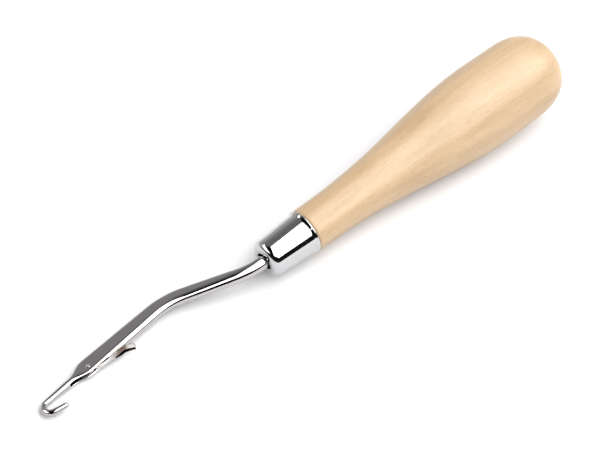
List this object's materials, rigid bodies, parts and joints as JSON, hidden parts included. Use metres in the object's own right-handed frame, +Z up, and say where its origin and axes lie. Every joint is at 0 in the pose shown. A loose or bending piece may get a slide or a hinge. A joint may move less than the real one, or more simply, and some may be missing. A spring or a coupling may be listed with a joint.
{
  "type": "latch hook tool",
  "caption": "Cranked steel hook with a pivoting latch, set through a drawn metal ferrule into a bulbous turned wooden handle.",
  "frame": {"origin": "on the plane that the lying tool rests on, at the middle of its length and width", "axes": "+X from the handle towards the hook, +Y to the side where the hook opens, +Z up from the resting plane"},
  "size_m": [0.1628, 0.0224, 0.0234],
  "materials": {
    "birch": "satin lacquer",
    "chrome_plate": "polished plate",
    "nickel_steel": "polished nickel plate",
    "latch_steel": "polished nickel plate"
  },
  "bodies": {
    "tool": {"handle": "birch", "ferrule": "chrome_plate", "hook_shank": "nickel_steel", "latch_rivet": "nickel_steel"},
    "latch_body": {"latch": "latch_steel"}
  },
  "joints": [
    {"name": "latch_pivot", "type": "hinge", "parent": "tool", "child": "latch_body", "pos_m": [0.06607, -0.00486, 0.00145], "axis": [0.0695, -0.22, 0.973], "range_deg": [-135, 0]}
  ]
}
